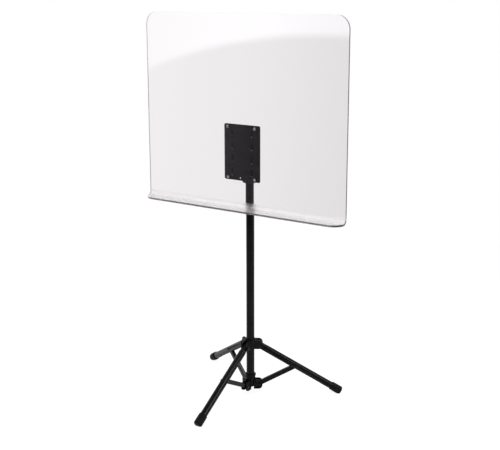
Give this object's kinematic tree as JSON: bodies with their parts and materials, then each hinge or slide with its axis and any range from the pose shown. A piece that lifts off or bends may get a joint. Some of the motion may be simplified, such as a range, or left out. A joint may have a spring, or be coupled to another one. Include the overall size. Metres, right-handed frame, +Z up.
{
  "type": "acoustic shield",
  "caption": "Upright clear sheet with a forward lip, held by a black steel plate on a telescoping pole with a folding tripod base.",
  "frame": {"origin": "on the floor, under the middle of the object's bounding box", "axes": "+Z up the pole, -Y to the front, where the lip and one leg point, +X along the sheet's width"},
  "size_m": [0.61, 0.3882, 1.036],
  "materials": {
    "black_powder_coat": "black powder coat, satin",
    "black_plastic": "moulded black plastic",
    "black_rubber": "matt black rubber",
    "zinc_steel": "bright zinc-plated steel",
    "black_steel": "blackened steel rivets",
    "clear_acrylic": "clear cast acrylic sheet with polished edges"
  },
  "bodies": {
    "mast": {"outer_tube": "black_powder_coat", "lower_hub": "black_plastic", "hub_screw": "black_steel", "hub_rivet_front_a": "black_steel", "hub_rivet_front_b": "black_steel", "hub_rivet_right_a": "black_steel", "hub_rivet_right_b": "black_steel", "hub_rivet_left_a": "black_steel", "hub_rivet_left_b": "black_steel", "clutch_base": "black_plastic", "clutch_collet": "black_plastic"},
    "clutch": {"clutch_grip": "black_plastic"},
    "collar": {"upper_hub": "black_plastic", "collar_bush": "black_plastic", "leg_pivot_pin_front": "black_steel", "leg_pivot_pin_right": "black_steel", "leg_pivot_pin_left": "black_steel"},
    "leg_front": {"leg_plug_front": "black_plastic", "leg_tube_front": "black_powder_coat", "foot_front": "black_rubber", "brace_pin_front": "black_steel"},
    "leg_right": {"leg_plug_right": "black_plastic", "leg_tube_right": "black_powder_coat", "foot_right": "black_rubber", "brace_pin_right": "black_steel"},
    "leg_left": {"leg_plug_left": "black_plastic", "leg_tube_left": "black_powder_coat", "foot_left": "black_rubber", "brace_pin_left": "black_steel"},
    "brace_front": {"brace_front": "black_powder_coat"},
    "brace_right": {"brace_right": "black_powder_coat"},
    "brace_left": {"brace_left": "black_powder_coat"},
    "slider": {"rod_guide": "black_plastic"},
    "head": {"inner_rod": "zinc_steel", "tilt_block": "black_plastic", "tilt_bolt": "zinc_steel", "tilt_nut": "zinc_steel", "tilt_washer_right": "black_plastic", "tilt_washer_left": "black_plastic"},
    "shield": {"shield_panel": "clear_acrylic", "mount_plate": "black_powder_coat", "tilt_yoke": "black_powder_coat", "panel_bolt_top_left": "zinc_steel", "panel_bolt_top_right": "zinc_steel", "panel_bolt_bottom_left": "zinc_steel", "panel_bolt_bottom_right": "zinc_steel", "panel_washer_top_left": "zinc_steel", "panel_washer_top_right": "zinc_steel", "panel_washer_bottom_left": "zinc_steel", "panel_washer_bottom_right": "zinc_steel", "panel_nut_top_left": "zinc_steel", "panel_nut_top_right": "zinc_steel", "panel_nut_bottom_left": "zinc_steel", "panel_nut_bottom_right": "zinc_steel"}
  },
  "joints": [
    {"name": "collar_slide", "type": "slide", "parent": "mast", "child": "collar", "axis": [0, 0, 1], "range_m": [0, 0.11745]},
    {"name": "leg_front_hinge", "type": "hinge", "parent": "collar", "child": "leg_front", "pos_m": [0, 0.03421, 0.136], "axis": [1, 0, 0], "range_deg": [0, 54.61]},
    {"name": "leg_right_hinge", "type": "hinge", "parent": "collar", "child": "leg_right", "pos_m": [0.02252, 0.07321, 0.136], "axis": [-0.5, 0.866, 0], "range_deg": [0, 54.61]},
    {"name": "leg_left_hinge", "type": "hinge", "parent": "collar", "child": "leg_left", "pos_m": [-0.02252, 0.07321, 0.136], "axis": [-0.5, -0.866, 0], "range_deg": [0, 54.61]},
    {"name": "brace_front_hinge", "type": "hinge", "parent": "leg_front", "child": "brace_front", "pos_m": [0, -0.06671, 0.07679], "axis": [-1, 0, 0], "range_deg": [0, 111.44]},
    {"name": "brace_right_hinge", "type": "hinge", "parent": "leg_right", "child": "brace_right", "pos_m": [0.10991, 0.12366, 0.07679], "axis": [0.5, -0.866, 0], "range_deg": [0, 111.44]},
    {"name": "brace_left_hinge", "type": "hinge", "parent": "leg_left", "child": "brace_left", "pos_m": [-0.10991, 0.12366, 0.07679], "axis": [0.5, 0.866, 0], "range_deg": [0, 111.44]},
    {"name": "clutch_twist", "type": "hinge", "parent": "mast", "child": "clutch", "pos_m": [0, 0.06021, 0.626], "axis": [0, 0, 1], "range_deg": [0, 90]},
    {"name": "height_slide", "type": "slide", "parent": "mast", "child": "slider", "axis": [0, 0, 1], "range_m": [0, 0.35]},
    {"name": "head_swivel", "type": "hinge", "parent": "slider", "child": "head", "pos_m": [0, 0.06021, 0.24], "axis": [0, 0, 1], "continuous": true},
    {"name": "shield_tilt", "type": "hinge", "parent": "head", "child": "shield", "pos_m": [0, 0.06021, 0.6775], "axis": [-1, 0, 0], "range_deg": [-8, 45]}
  ],
  "couplings": [
    {"joint": "leg_front_hinge", "follows": "collar_slide", "rad_per_m": 8.1133},
    {"joint": "leg_right_hinge", "follows": "collar_slide", "rad_per_m": 8.1133},
    {"joint": "leg_left_hinge", "follows": "collar_slide", "rad_per_m": 8.1133},
    {"joint": "brace_front_hinge", "follows": "collar_slide", "rad_per_m": 16.557},
    {"joint": "brace_right_hinge", "follows": "collar_slide", "rad_per_m": 16.557},
    {"joint": "brace_left_hinge", "follows": "collar_slide", "rad_per_m": 16.557}
  ]
}
